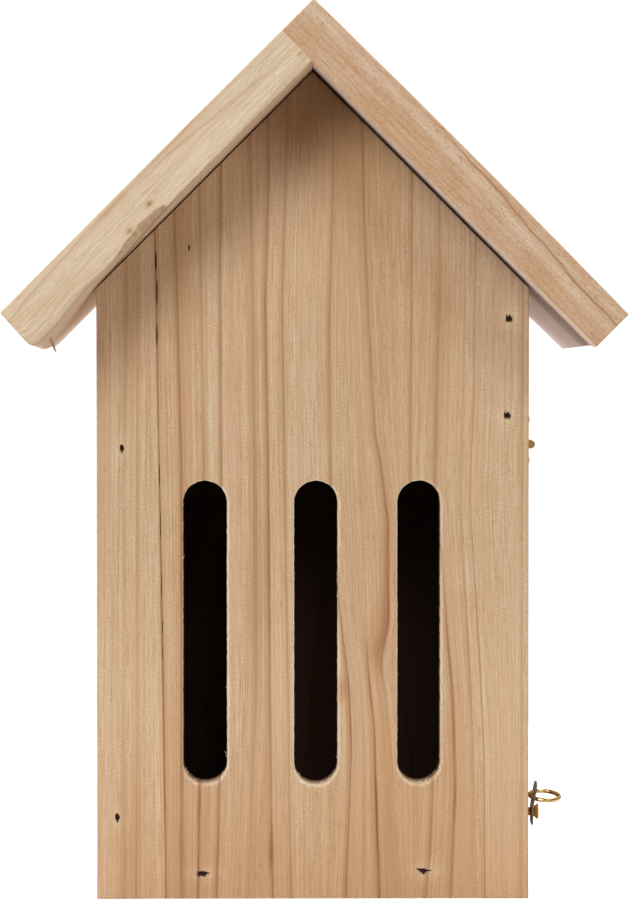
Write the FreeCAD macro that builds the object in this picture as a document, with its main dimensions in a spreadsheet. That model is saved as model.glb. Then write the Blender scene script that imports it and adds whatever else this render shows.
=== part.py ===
"""Butterfly house: a small slotted gable box of planed softwood boards with a hinged side door.

Millimetres. +Z is up, the slotted front faces -Y and the door is in the +X side.
The origin is the middle of the bounding box at ground level.
"""
import FreeCAD, Part
import math
import os
import Sketcher

V = FreeCAD.Vector
X_AXIS = V(1, 0, 0)
Y_AXIS = V(0, 1, 0)
Z_AXIS = V(0, 0, 1)

doc = FreeCAD.newDocument("butterfly_house")

# Driving dimensions, millimetres and degrees
SIZES = {
    # boards and roof
    "board": 10,
    "panel_width": 101.5,
    "eave_height": 144,
    "roof_length": 101.6,
    "roof_depth": 100,
    "overhang": 25,
    "eave_round": 1,
    # slots in the front panel
    "slot_width": 10.1,
    "slot_height": 71.2,
    "slot_low": 27.2,
    "slot_reach": 25.15,
    "slot_middle": 0.75,
    # hanging hole in the back panel
    "hang_radius": 4,
    "hang_height": 160,
    # side door
    "seam_height": 106.65,
    "seam_gap": 0.6,
    "door_gap": 0.4,
    # brads, with a T-shaped head driven below the surface
    "brad_length": 25,
    "brad_width": 1.25,
    "brad_thick": 1,
    "brad_head_width": 2.3,
    "brad_head_height": 0.8,
    "brad_sink": 1.2,
    "left_brad_high": 105.7,
    "left_brad_in": 1,
    "left_brad_low": 18.8,
    "right_brad_high": 136.3,
    "right_brad_low": 113.7,
    "floor_brad_reach": 26.2,
    "left_floor_brad": 5.8,
    "right_floor_brad": 6.5,
    "roof_brad_high": 30,
    "roof_brad_low": 66,
    "ridge_brad_reach": 36,
    # butt hinges on the outer face of the door side
    "hinge_width": 14,
    "hinge_reach": 18,
    "leaf_height": 8,
    "leaf_thick": 0.5,
    "knuckle_radius": 1,
    "knuckle_off": 1.3,
    "knuckle_width": 4.6,
    "knuckle_gap": 0.1,
    "pin_radius": 0.5,
    "pin_play": 0.05,
    "pin_proud": 0.3,
    "leaf_nail_near": 3.8,
    "leaf_nail_far": 5.9,
    "leaf_nail_reach": 4.2,
    "leaf_nail_radius": 0.6,
    "leaf_nail_length": 4.4,
    "leaf_nail_head": 1.1,
    # turning latch on the edge of the front panel
    "latch_height": 20,
    "plate_width": 8.4,
    "plate_thick": 0.3,
    "plate_off": 0.9,
    "plate_above": 7.1,
    "plate_below": 3,
    "plate_round": 1.6,
    "plate_bend": 10,
    "bend_height": 1,
    "window_radius": 1.5,
    "window_reach": 2,
    "window_height": 2,
    "screw_radius": 1,
    "screw_play": 0.08,
    "screw_depth": 11,
    "screw_head": 1.9,
    "screw_cone": 1.1,
    "screw_rim": 0.25,
    "screw_groove": 0.5,
    "ring_radius": 3.44,
    "ring_wire": 0.52,
    "ring_off": 0.655,
    "ring_height": 3.9,
    "ring_tilt": 12.5,
    "ring_sag": 3.5,
}

sheet = doc.addObject("Spreadsheet::Sheet", "size")
for row, (alias, number) in enumerate(SIZES.items(), start=1):
    sheet.set("A%d" % row, alias)
    sheet.set("B%d" % row, str(number))
    sheet.setAlias("B%d" % row, alias)
doc.recompute()


def size(alias):
    """The number of a driving dimension."""
    return float(sheet.get(alias))


# Places that several pieces share, as expressions on the driving dimensions
FRONT = "(size.overhang - size.roof_depth / 2)"
INSIDE_FRONT = "(size.overhang - size.roof_depth / 2 + size.board)"
INSIDE_BACK = "(size.roof_depth / 2 - size.board)"
BACK = "(size.roof_depth / 2)"
SIDE = "(size.panel_width / 2)"
INSIDE = "(size.panel_width / 2 - size.board)"
DEPTH = "(size.roof_depth - size.overhang - 2 * size.board)"
PEAK = "(size.eave_height + size.panel_width / 2)"
APEX = "(size.eave_height + size.panel_width / 2 + size.board * sqrt(2))"
HINGE_X = "(size.panel_width / 2 + size.knuckle_off)"
SIDE_MIDDLE = "(size.overhang / 2)"
LATCH_Y = "(size.overhang - size.roof_depth / 2 + size.board / 2)"


def bind(item, **expressions):
    """Bind properties to expressions; x, y and z are the base of the placement."""
    for name, text in expressions.items():
        path = "Placement.Base." + name if name in ("x", "y", "z") else name
        item.setExpression(path, text)
    return item


def box(name, length, width, height, x, y, z):
    """A plain board or block from its low corner."""
    item = doc.addObject("Part::Box", name)
    return bind(item, Length=length, Width=width, Height=height, x=x, y=y, z=z)


def cylinder(name, radius, height, x, y, z, axis):
    """A round bar from the middle of its first end, along the axis."""
    item = doc.addObject("Part::Cylinder", name)
    item.Placement.Rotation = FreeCAD.Rotation(Z_AXIS, axis)
    return bind(item, Radius=radius, Height=height, x=x, y=y, z=z)


def cone(name, radius, end_radius, height, x, y, z):
    """A tapered round along +X."""
    item = doc.addObject("Part::Cone", name)
    item.Placement.Rotation = FreeCAD.Rotation(Z_AXIS, X_AXIS)
    return bind(item, Radius1=radius, Radius2=end_radius, Height=height, x=x, y=y, z=z)


def fuse(name, *pieces):
    item = doc.addObject("Part::MultiFuse", name)
    item.Shapes = list(pieces)
    return item


def cut(name, base, tool):
    item = doc.addObject("Part::Cut", name)
    item.Base = base
    item.Tool = tool
    return item


def group(name, pieces):
    """Separate solids kept together in one object."""
    item = doc.addObject("Part::Compound", name)
    item.Links = list(pieces)
    return item


# Sketched outlines

def sketch_on(body, role, name):
    """A sketch on one of the body's own origin planes."""
    sketch = body.newObject("Sketcher::SketchObject", name)
    plane = [item for item in body.Origin.OriginFeatures if item.Role == role]
    sketch.AttachmentSupport = (plane[0], "")
    sketch.MapMode = "FlatFace"
    return sketch


def measure(sketch, name, text, *constraint):
    """A named dimension of the sketch, bound to an expression."""
    index = sketch.addConstraint(Sketcher.Constraint(*constraint))
    sketch.renameConstraint(index, name)
    sketch.setExpression("Constraints." + name, text)


def gable_outline(sketch):
    """A five-sided gable panel standing on the X axis, with its peak on the Y axis."""
    half = size("panel_width") / 2
    eave = size("eave_height")
    corners = [V(-half, 0, 0), V(half, 0, 0), V(half, eave, 0), V(0, eave + half, 0), V(-half, eave, 0)]
    count = len(corners)
    for index in range(count):
        sketch.addGeometry(Part.LineSegment(corners[index], corners[(index + 1) % count]))
    for index in range(count):
        sketch.addConstraint(Sketcher.Constraint("Coincident", index, 2, (index + 1) % count, 1))
    sketch.addConstraint(Sketcher.Constraint("Horizontal", 0))
    sketch.addConstraint(Sketcher.Constraint("Vertical", 1))
    sketch.addConstraint(Sketcher.Constraint("Vertical", 4))
    sketch.addConstraint(Sketcher.Constraint("Equal", 1, 4))
    sketch.addConstraint(Sketcher.Constraint("Symmetric", 0, 1, 0, 2, -1, 1))
    sketch.addConstraint(Sketcher.Constraint("PointOnObject", 2, 2, -2))
    measure(sketch, "width", "size.panel_width", "DistanceX", 0, 1, 0, 2, 2 * half)
    measure(sketch, "eave", "size.eave_height", "DistanceY", 1, 1, 1, 2, eave)
    measure(sketch, "peak", PEAK, "DistanceY", -1, 1, 2, 2, eave + half)


def slot_outline(sketch, name, across, low, length, radius):
    """An upright slot with round ends; each argument is an (expression, number) pair."""
    x, y, r, tall = across[1], low[1], radius[1], length[1]
    foot = sketch.addGeometry(Part.ArcOfCircle(Part.Circle(V(x, y, 0), Z_AXIS, r), math.pi, 2 * math.pi))
    right = sketch.addGeometry(Part.LineSegment(V(x + r, y, 0), V(x + r, y + tall, 0)))
    head = sketch.addGeometry(Part.ArcOfCircle(Part.Circle(V(x, y + tall, 0), Z_AXIS, r), 0, math.pi))
    left = sketch.addGeometry(Part.LineSegment(V(x - r, y + tall, 0), V(x - r, y, 0)))
    for first, second in ((foot, right), (right, head), (head, left), (left, foot)):
        sketch.addConstraint(Sketcher.Constraint("Tangent", first, 2, second, 1))
    sketch.addConstraint(Sketcher.Constraint("Equal", foot, head))
    sketch.addConstraint(Sketcher.Constraint("Vertical", right))
    measure(sketch, name + "_radius", radius[0], "Radius", foot, r)
    measure(sketch, name + "_across", across[0], "DistanceX", -1, 1, foot, 3, x)
    measure(sketch, name + "_low", low[0], "DistanceY", -1, 1, foot, 3, y)
    measure(sketch, name + "_length", length[0], "DistanceY", foot, 3, head, 3, tall)


def round_hole(sketch, name, up, radius):
    """A circle on the Y axis; each argument after the name is an (expression, number) pair."""
    circle = sketch.addGeometry(Part.Circle(V(0, up[1], 0), Z_AXIS, radius[1]))
    measure(sketch, name + "_radius", radius[0], "Radius", circle, radius[1])
    measure(sketch, name + "_up", up[0], "DistanceY", -1, 1, circle, 3, up[1])
    sketch.addConstraint(Sketcher.Constraint("PointOnObject", circle, 3, -2))


def pad(body, sketch, name, length):
    feature = body.newObject("PartDesign::Pad", name)
    feature.Profile = sketch
    return bind(feature, Length=length)


def gable_panel(name, y):
    """A gable-shaped board whose outer outline is shared by the front and the back."""
    body = doc.addObject("PartDesign::Body", name)
    bind(body, y=y)
    sketch = sketch_on(body, "XZ_Plane", name + "_outline")
    gable_outline(sketch)
    return body, sketch


# Boards, before the brads are driven

def front_board():
    """The front: a gable board with three upright slots, drawn on its inner face and thick towards -Y."""
    body, sketch = gable_panel("front_board", INSIDE_FRONT)
    radius = ("size.slot_width / 2", size("slot_width") / 2)
    low = ("size.slot_low + size.slot_width / 2", size("slot_low") + size("slot_width") / 2)
    length = ("size.slot_height - size.slot_width", size("slot_height") - size("slot_width"))
    slots = {
        "left_slot": ("-size.slot_reach", -size("slot_reach")),
        "middle_slot": ("size.slot_middle", size("slot_middle")),
        "right_slot": ("size.slot_reach", size("slot_reach")),
    }
    for name, across in slots.items():
        slot_outline(sketch, name, across, low, length, radius)
    pad(body, sketch, "front_thickness", "size.board")
    return body


def back_board():
    """The back: the same gable without slots, with a round hole to hang it by."""
    body, sketch = gable_panel("back_board", BACK)
    up = ("size.hang_height", size("hang_height"))
    radius = ("size.hang_radius", size("hang_radius"))
    round_hole(sketch, "hang", up, radius)
    pad(body, sketch, "back_thickness", "size.board")
    return body


def roof_board(name, length, start, angle):
    """A roof board: a block turned about Y, from the ridge down one slope."""
    item = doc.addObject("Part::Box", name)
    item.Placement.Rotation = FreeCAD.Rotation(Y_AXIS, angle)
    return bind(item, Length=length, Width="size.roof_depth", Height="size.board", **start)


def right_roof_board():
    """The longer roof board: its top end reaches over the end of the left one."""
    start = {
        "x": "-size.board / sqrt(2)",
        "y": "-size.roof_depth / 2",
        "z": APEX + " - size.board / sqrt(2)",
    }
    return roof_board("right_roof_blank", "size.roof_length", start, 45)


def left_roof_board():
    """The shorter roof board, butted under the right one, with its lowest edge rounded."""
    start = {
        "x": "-size.roof_length / sqrt(2) + size.board / sqrt(2)",
        "y": "-size.roof_depth / 2",
        "z": APEX + " - size.roof_length / sqrt(2) - size.board / sqrt(2)",
    }
    blank = roof_board("left_roof_blank", "size.roof_length - size.board", start, -45)
    doc.recompute()
    edges = blank.Shape.Edges
    lowest = min(range(len(edges)), key=lambda index: edges[index].CenterOfMass.z)
    rounded = doc.addObject("Part::Fillet", "left_roof_eased")
    rounded.Base = blank
    rounded.Edges = [(lowest + 1, size("eave_round"), size("eave_round"))]
    return rounded


def side_board(name, x, low, high):
    """An upright side board between the front and the back."""
    return box(name, "size.board", DEPTH, high + " - " + low, x, INSIDE_FRONT, low)


def left_board():
    return side_board("left_board", "-" + SIDE, "0", "size.eave_height")


def right_board():
    return side_board("right_board", INSIDE, "(size.seam_height + size.seam_gap / 2)", "size.eave_height")


def door_board():
    """The door fills the right side below the seam, with a small gap all round."""
    return box(
        "door_board",
        "size.board",
        DEPTH + " - 2 * size.door_gap",
        "size.seam_height - size.seam_gap / 2 - size.door_gap",
        INSIDE,
        INSIDE_FRONT + " + size.door_gap",
        "size.door_gap",
    )


def floor_blank():
    """The floor lies between the left side and the door, which closes against its end."""
    length = "size.panel_width - 2 * size.board - size.door_gap"
    return box("floor_blank", length, DEPTH, "size.board", "-" + INSIDE, INSIDE_FRONT, "0")


# Brads and the holes that they fill

def brad(name, point, drive, long_side):
    """One brad and its hole. The point is on the surface, as three expressions.

    In its own frame a brad is driven along +Z from the origin, with the long side of its head along X.
    """
    cross = drive.cross(long_side)
    turn = FreeCAD.Rotation(long_side, cross, drive, "ZXY")

    def block(part, wide, tall, start):
        item = doc.addObject("Part::Box", name + part)
        item.Placement.Rotation = turn
        bind(item, Length=wide, Width="size.brad_thick", Height=tall)
        for axis, text in zip("xyz", point):
            along = getattr(drive, axis)
            side = getattr(long_side, axis)
            other = getattr(cross, axis)
            shift = "%s + (%s) * %r - (%s) / 2 * %r - size.brad_thick / 2 * %r"
            bind(item, **{axis: shift % (text, start, along, wide, side, other)})
        return item

    shank = block("_shank", "size.brad_width", "size.brad_length", "size.brad_sink")
    head = block("_head", "size.brad_head_width", "size.brad_head_height", "size.brad_sink")
    pit = block("_pit", "size.brad_head_width", "size.brad_sink + size.brad_head_height", "0")
    return fuse(name, shank, head), fuse(name + "_hole", shank, pit)


def panel_brads(name, y, drive):
    """Brads through a gable panel into the left side, the right side and the floor."""
    edge = "(size.panel_width / 2 - size.board / 2)"
    upright = [
        ("-" + edge + " + size.left_brad_in", "size.left_brad_high"),
        ("-" + edge, "size.left_brad_low"),
        (edge, "size.right_brad_high"),
        (edge, "size.right_brad_low"),
    ]
    level = [
        ("-size.floor_brad_reach", "size.left_floor_brad"),
        ("size.floor_brad_reach", "size.right_floor_brad"),
    ]
    places = [(place, Z_AXIS) for place in upright] + [(place, X_AXIS) for place in level]
    return [
        brad("%s_%d" % (name, index), (x, y, z), drive, long_side)
        for index, ((x, z), long_side) in enumerate(places)
    ]


def slope_point(along, y, side):
    """A point on the outer face of the roof, a distance down one slope from the ridge."""
    return ("%d * (%s) / sqrt(2)" % (side, along), y, "%s - (%s) / sqrt(2)" % (APEX, along))


def roof_brads(name, side):
    """Brads through a roof board into the sloping edges of the front and back panels."""
    drive = V(-side, 0, -1).normalize()
    places = [
        slope_point(along, y, side)
        for along in ("size.roof_brad_high", "size.roof_brad_low")
        for y in (LATCH_Y, "size.roof_depth / 2 - size.board / 2")
    ]
    return [brad("%s_%d" % (name, index), place, drive, Y_AXIS) for index, place in enumerate(places)]


def ridge_brads():
    """Brads through the top end of the right roof board into the end of the left one."""
    drive = V(-1, 0, -1).normalize()
    rows = ("-size.ridge_brad_reach", "0", "size.ridge_brad_reach")
    places = [slope_point("size.board / 2", y, 1) for y in rows]
    return [brad("ridge_brad_%d" % index, place, drive, Y_AXIS) for index, place in enumerate(places)]


# Hinges

def leaf_nails(name, middle, up):
    """Two round-headed nails in one leaf, staggered; up is 1 for the upper leaf and -1 for the lower."""
    nails = []
    for index, reach in enumerate(("-size.leaf_nail_reach", "size.leaf_nail_reach")):
        far = (index == 0) == (up > 0)
        offset = "size.leaf_nail_far" if far else "size.leaf_nail_near"
        y = "%s + %s" % (middle, reach)
        z = "size.seam_height + %d * %s" % (up, offset)
        label = "%s_%d" % (name, index)
        start = "%s + size.leaf_thick - size.leaf_nail_length" % SIDE
        top = "%s + size.leaf_thick" % SIDE
        radius = "size.leaf_nail_radius"
        shank = cylinder(label + "_shank", radius, "size.leaf_nail_length", start, y, z, X_AXIS)
        dome = cone(label + "_dome", "size.leaf_nail_head", radius, radius, top, y, z)
        nails.append(fuse(label, shank, dome))
    return nails


def hinge_leaf(name, middle, up, nails):
    """A leaf with its rolled knuckles: the upper leaf has the two outer ones, the lower the middle one."""
    radius = "size.knuckle_radius"
    middle_low = "%s - size.knuckle_width / 2" % middle
    end_width = "(size.hinge_width / 2 - size.knuckle_width / 2)"
    ends = (
        ("%s - size.hinge_width / 2" % middle, end_width),
        ("%s + size.knuckle_width / 2" % middle, end_width),
    )
    centre = ((middle_low, "size.knuckle_width"),)
    own, other = (ends, centre) if up > 0 else (centre, ends)
    low = "size.seam_height" if up > 0 else "size.seam_height - size.leaf_height"
    plate = box(
        name + "_plate", "size.leaf_thick", "size.hinge_width", "size.leaf_height",
        SIDE, "%s - size.hinge_width / 2" % middle, low,
    )
    knuckles = []
    for index, (start, width) in enumerate(own):
        begin = "%s + size.knuckle_gap" % start
        length = "%s - 2 * size.knuckle_gap" % width
        label = "%s_knuckle_%d" % (name, index)
        knuckles.append(cylinder(label, radius, length, HINGE_X, begin, "size.seam_height", Y_AXIS))
    blank = fuse(name + "_blank", plate, *knuckles)

    # Room for the other leaf's knuckles, for the pin and for the nails
    room = "(size.knuckle_radius + 3 * size.knuckle_gap)"
    room_low = "size.seam_height" if up > 0 else "size.seam_height - " + room
    tools = []
    for index, (start, width) in enumerate(other):
        begin = "%s - size.knuckle_gap" % start
        length = "%s + 2 * size.knuckle_gap" % width
        label = "%s_room_%d" % (name, index)
        tools.append(box(label, "size.leaf_thick", length, room, SIDE, begin, room_low))
    bore = "size.pin_radius" if up > 0 else "size.pin_radius + size.pin_play"
    first = "%s - size.hinge_width / 2" % middle
    width = "size.hinge_width"
    tools.append(cylinder(name + "_bore", bore, width, HINGE_X, first, "size.seam_height", Y_AXIS))
    return cut(name, blank, group(name + "_tools", tools + nails))


def hinge_pin(name, middle):
    """The pin stands a little proud of the knuckles at both ends."""
    start = "%s - size.hinge_width / 2 - size.pin_proud" % middle
    length = "size.hinge_width + 2 * size.pin_proud"
    return cylinder(name, "size.pin_radius", length, HINGE_X, start, "size.seam_height", Y_AXIS)


# Latch

def latch_outline():
    """The plate's face outline along X: a rounded rectangle with a screw hole and two windows."""
    body = doc.addObject("PartDesign::Body", "latch_outline")
    bind(body, x=SIDE, y=LATCH_Y, z="size.latch_height")
    sketch = sketch_on(body, "YZ_Plane", "latch_face")
    half = size("plate_width") / 2
    low = -size("plate_below")
    high = size("plate_above")
    r = size("plate_round")
    corners = (
        (half - r, low + r, 1.5),
        (half - r, high - r, 0),
        (r - half, high - r, 0.5),
        (r - half, low + r, 1),
    )
    arcs = []
    for x, y, turn in corners:
        circle = Part.Circle(V(x, y, 0), Z_AXIS, r)
        arcs.append(sketch.addGeometry(Part.ArcOfCircle(circle, turn * math.pi, (turn + 0.5) * math.pi)))
    ends = ((half, low + r, half, high - r), (half - r, high, r - half, high),
            (-half, high - r, -half, low + r), (r - half, low, half - r, low))
    lines = [sketch.addGeometry(Part.LineSegment(V(a, b, 0), V(c, d, 0))) for a, b, c, d in ends]
    for index in range(4):
        sketch.addConstraint(Sketcher.Constraint("Tangent", arcs[index], 2, lines[index], 1))
        sketch.addConstraint(Sketcher.Constraint("Tangent", lines[index], 2, arcs[(index + 1) % 4], 1))
    for index in (1, 2, 3):
        sketch.addConstraint(Sketcher.Constraint("Equal", arcs[0], arcs[index]))
    sketch.addConstraint(Sketcher.Constraint("Vertical", lines[0]))
    sketch.addConstraint(Sketcher.Constraint("Vertical", lines[2]))
    sketch.addConstraint(Sketcher.Constraint("Horizontal", lines[3]))
    sketch.addConstraint(Sketcher.Constraint("Symmetric", lines[1], 1, lines[1], 2, -2))
    measure(sketch, "corner", "size.plate_round", "Radius", arcs[0], r)
    half_text = "size.plate_width / 2 - size.plate_round"
    measure(sketch, "half", half_text, "DistanceX", -1, 1, arcs[0], 3, half - r)
    measure(sketch, "above", "size.plate_above", "DistanceY", -1, 1, lines[1], 1, high)
    measure(sketch, "below", "size.plate_below - size.plate_round", "DistanceY", arcs[0], 3, -1, 1, -low - r)
    hole = ("size.screw_radius + size.screw_play", size("screw_radius") + size("screw_play"))
    circle = sketch.addGeometry(Part.Circle(V(0, 0, 0), Z_AXIS, hole[1]))
    sketch.addConstraint(Sketcher.Constraint("Coincident", circle, 3, -1, 1))
    measure(sketch, "screw_hole", hole[0], "Radius", circle, hole[1])
    window = ("size.window_radius", size("window_radius"))
    length = ("size.window_height", size("window_height"))
    foot = ("size.ring_height - size.window_height / 2", size("ring_height") - size("window_height") / 2)
    for name, sign in (("near_window", -1), ("far_window", 1)):
        across = ("%d * size.window_reach" % sign, sign * size("window_reach"))
        slot_outline(sketch, name, across, foot, length, window)
    pad(body, sketch, "latch_reach", "size.plate_above")
    return body


def latch_strip():
    """The bent sheet that the plate is cut from: flat at the screw, its upper end leaning outwards."""
    x = "%s + size.plate_off" % SIDE
    y = "%s - size.plate_width / 2" % LATCH_Y
    bend = "size.latch_height + size.bend_height"
    lower = box(
        "latch_lower", "size.plate_thick", "size.plate_width", "size.plate_below + size.bend_height",
        x, y, "size.latch_height - size.plate_below",
    )
    upper = box("latch_upper", "size.plate_thick", "size.plate_width", "size.plate_above", x, y, bend)
    upper.Placement.Rotation = FreeCAD.Rotation(Y_AXIS, size("plate_bend"))
    return fuse("latch_strip", lower, upper)


def latch_plate():
    item = doc.addObject("Part::Common", "latch_plate")
    item.Base = latch_strip()
    item.Tool = latch_outline()
    return item


def latch_screw():
    """A countersunk screw, not driven home, so that the plate turns freely under its head."""
    seat = "(size.plate_off + size.plate_thick + size.screw_play)"
    cone_start = "%s + %s" % (SIDE, seat)
    rim_start = "%s + size.screw_cone" % cone_start
    start = "%s - size.screw_depth" % SIDE
    length = "size.screw_depth + " + seat
    height = "size.latch_height"
    shank = cylinder("screw_shank", "size.screw_radius", length, start, LATCH_Y, height, X_AXIS)
    taper = cone(
        "screw_taper", "size.screw_radius", "size.screw_head", "size.screw_cone", cone_start, LATCH_Y, height
    )
    rim = cylinder("screw_rim", "size.screw_head", "size.screw_rim", rim_start, LATCH_Y, height, X_AXIS)
    groove = box(
        "screw_groove", "size.screw_groove", "size.screw_groove", "2 * size.screw_head",
        "%s + size.screw_rim - size.screw_groove" % rim_start,
        "%s - size.screw_groove / 2" % LATCH_Y,
        "size.latch_height - size.screw_head",
    )
    return shank, cut("latch_screw", fuse("screw_blank", shank, taper, rim), groove)


def latch_ring():
    """A round wire ring through both windows, behind the bar between them, resting a little askew."""
    ring = doc.addObject("Part::Torus", "latch_ring")
    bind(ring, Radius1="size.ring_radius", Radius2="size.ring_wire")
    pivot = V(
        size("panel_width") / 2 + size("ring_off"),
        size("overhang") - size("roof_depth") / 2 + size("board") / 2,
        size("latch_height") + size("ring_height"),
    )
    turn = FreeCAD.Rotation(X_AXIS, size("ring_tilt")) * FreeCAD.Rotation(Y_AXIS, size("ring_sag"))
    out = FreeCAD.Placement(V(size("ring_radius"), 0, 0), FreeCAD.Rotation())
    ring.Placement = FreeCAD.Placement(pivot, turn) * out
    return ring


# Assembly
front_middle = "(%s - size.hinge_reach)" % SIDE_MIDDLE
rear_middle = "(%s + size.hinge_reach)" % SIDE_MIDDLE

driven = {
    "front_panel_brads": panel_brads("front_brad", FRONT, Y_AXIS),
    "back_panel_brads": panel_brads("back_brad", BACK, -Y_AXIS),
    "right_roof_brads": roof_brads("right_roof_brad", 1),
    "left_roof_brads": roof_brads("left_roof_brad", -1),
    "ridge_brads": ridge_brads(),
}
sub_parts = {name: group(name, [brad_piece for brad_piece, hole in pairs]) for name, pairs in driven.items()}

upper_nails = {}
lower_nails = {}
for hinge, middle in (("front_hinge", front_middle), ("rear_hinge", rear_middle)):
    upper_nails[hinge] = leaf_nails(hinge + "_upper_nail", middle, 1)
    lower_nails[hinge] = leaf_nails(hinge + "_lower_nail", middle, -1)
    sub_parts[hinge + "_fixed_leaf"] = hinge_leaf(hinge + "_fixed_leaf", middle, 1, upper_nails[hinge])
    sub_parts[hinge + "_door_leaf"] = hinge_leaf(hinge + "_door_leaf", middle, -1, lower_nails[hinge])
    sub_parts[hinge + "_pin"] = hinge_pin(hinge + "_pin", middle)
sub_parts["hinge_fixed_nails"] = group("hinge_fixed_nails", sum(upper_nails.values(), []))
sub_parts["hinge_door_nails"] = group("hinge_door_nails", sum(lower_nails.values(), []))

screw_shank, sub_parts["latch_screw"] = latch_screw()
sub_parts["latch_plate"] = latch_plate()
sub_parts["latch_ring"] = latch_ring()

holes = [hole for pairs in driven.values() for brad_piece, hole in pairs]
fixed_holes = group("fixed_holes", holes + sum(upper_nails.values(), []) + [screw_shank])
boards = {
    "front_panel": front_board(),
    "back_panel": back_board(),
    "left_side": left_board(),
    "right_side_top": right_board(),
    "floor_board": floor_blank(),
    "right_roof_board": right_roof_board(),
    "left_roof_board": left_roof_board(),
}
for name, board in boards.items():
    sub_parts[name] = cut(name, board, fixed_holes)
sub_parts["side_door"] = cut("side_door", door_board(), sub_parts["hinge_door_nails"])

doc.recompute()

failed = [item.Name for item in doc.Objects if "Invalid" in item.State or "Error" in item.State]
if failed:
    raise RuntimeError("objects that failed: " + ", ".join(failed))
for name, item in sub_parts.items():
    if item.Shape.isNull() or not item.Shape.isValid():
        raise RuntimeError("bad shape: " + name)

os.makedirs("parts", exist_ok=True)
for name, item in sub_parts.items():
    item.Label = name
    item.Shape.exportStep("parts/%s.step" % name)
    limits = item.Shape.BoundBox
    print(
        "%-24s solids %2d  volume %9.1f  x %.2f %.2f  y %.2f %.2f  z %.2f %.2f"
        % (name, len(item.Shape.Solids), item.Shape.Volume,
           limits.XMin, limits.XMax, limits.YMin, limits.YMax, limits.ZMin, limits.ZMax)
    )
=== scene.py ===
"""The butterfly house as it looks: boards with torn edges, drawn grain, ragged brad pits and brass fittings.

Shapes are worked out in millimetres in the part's own frame and scaled to metres as each mesh is made.
"""
import math

import bpy
import numpy as np
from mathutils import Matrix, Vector
from mathutils.geometry import delaunay_2d_cdt


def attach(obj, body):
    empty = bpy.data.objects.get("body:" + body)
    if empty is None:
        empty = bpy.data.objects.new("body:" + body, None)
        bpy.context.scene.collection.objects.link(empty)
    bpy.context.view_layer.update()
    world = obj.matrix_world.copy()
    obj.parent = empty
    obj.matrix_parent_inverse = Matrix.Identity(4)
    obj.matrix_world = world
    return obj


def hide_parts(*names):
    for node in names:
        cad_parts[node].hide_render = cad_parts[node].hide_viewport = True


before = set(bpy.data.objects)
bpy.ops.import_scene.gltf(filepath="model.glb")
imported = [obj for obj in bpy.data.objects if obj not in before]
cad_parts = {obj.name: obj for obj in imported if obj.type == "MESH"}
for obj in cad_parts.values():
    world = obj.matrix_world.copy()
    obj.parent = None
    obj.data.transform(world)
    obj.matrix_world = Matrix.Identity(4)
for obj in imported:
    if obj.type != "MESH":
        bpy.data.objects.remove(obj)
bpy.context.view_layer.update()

MM = 0.001
ROOT_HALF = math.sqrt(0.5)
SEED = 7

# Sizes of the house, millimetres
BOARD = 10.0
PANEL_HALF = 50.75
EAVE = 144.0
PEAK = EAVE + PANEL_HALF
APEX = PEAK + BOARD / ROOT_HALF
FRONT = -25.0
INSIDE_FRONT = FRONT + BOARD
BACK = 50.0
INSIDE_BACK = BACK - BOARD
INSIDE_HALF = PANEL_HALF - BOARD
ROOF_FRONT = -50.0
ROOF_BACK = 50.0
ROOF_LENGTH = 101.6
SEAM_HIGH = 106.95
DOOR_LOW = 0.4
DOOR_HIGH = 106.35
DOOR_GAP = 0.4
SLOT_LOW = 27.2
SLOT_HIGH = 98.4
# Slots as they were routed: x, half width, low end
SLOTS = ((-25.3, 5.15, 27.3), (0.7, 5.1, 27.05), (24.9, 5.05, 27.4))
HANG_HEIGHT = 160.0
HANG_RADIUS = 4.0

# The latch's ring: middle of its wire at the plate, radii, and how it hangs
RING_PIVOT = (PANEL_HALF + 0.655, FRONT + BOARD / 2, 23.9)
RING_RADIUS = 3.44
RING_WIRE = 0.52
RING_TILT = math.radians(12.5)
RING_SAG = math.radians(3.5)
RING_STEPS = 96
WIRE_SIDES = 24

# Edges and small faults that the boards have. Each edge is hollow by a tiny part of its length
ARRIS = 0.3
SLOT_ARRIS = 1.15
LIP = 0.3
HOLLOW = 0.0004
ROOF_GAP = 0.4
PIT_DEPTH = 1.1
# Painted shade in the pits and cracks: the depth at which a pit is painted fully dark, and how dark
PIT_DARK = 0.6 * PIT_DEPTH
PIT_SHADE = 0.96
PIT_HALO = 0.6
CRACK_DEPTH = 0.7
CRACK_WAVER = (0.6, 1.2)
# Painted shade inside the house: how dark its inner faces and the slots' deeper walls are painted
INNER_SHADE = 0.94
# How far the roof boards' tops bow out at the middle of the slope, the right one and the left one
RIGHT_BOW = 0.38
LEFT_BOW = 0.12
# How far the right board's back is twisted down, and the share of that which it loses from house to eave
RIGHT_TWIST = 1.0
TWIST_LOSS = 0.43
# How far the left board's lower end is out of square and its lower arris is worn, and where along the slope
# that wear begins and is full
EAVE_SLANT = 0.5
EAVE_WEAR = 1.5
EAVE_EASE = (78.0, 92.0)
# How far the right board's front edge sags, how much more at the eave, and the left board's belly
FRONT_SAG = 0.35
EAVE_SAG = 0.3
LEFT_BELLY = 1.3
# Radius of the left board's rounded end at its front, and how much smaller it gets further back
END_ROUND = 2.0
END_ROUND_LOSS = 1.4
# Half sizes of the roof boards' pits, along and across the slope, at the floor and at the mouth
PIT_ALONG = (0.45, 0.62)
PIT_ACROSS = (1.1, 1.32)
# How near a face a point counts as on it, and the angle past which a fold shows as an edge
ON_FACE = 0.01
FOLD = math.radians(38)
# How much of the slots' arris is rounded over on their right, how far their edges are frayed, and their steps
RIGHT_ROUND = 0.5
FRAY = 0.035
SLOT_STEP = 0.7
ROUND_STEPS = 26
# How deep the slots' feet are lit and how high that reaches, and over what depth the dark then closes in
FOOT_LIT = 4.5
LIT_HEIGHT = 2.5
DUSK = 4.0
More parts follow.
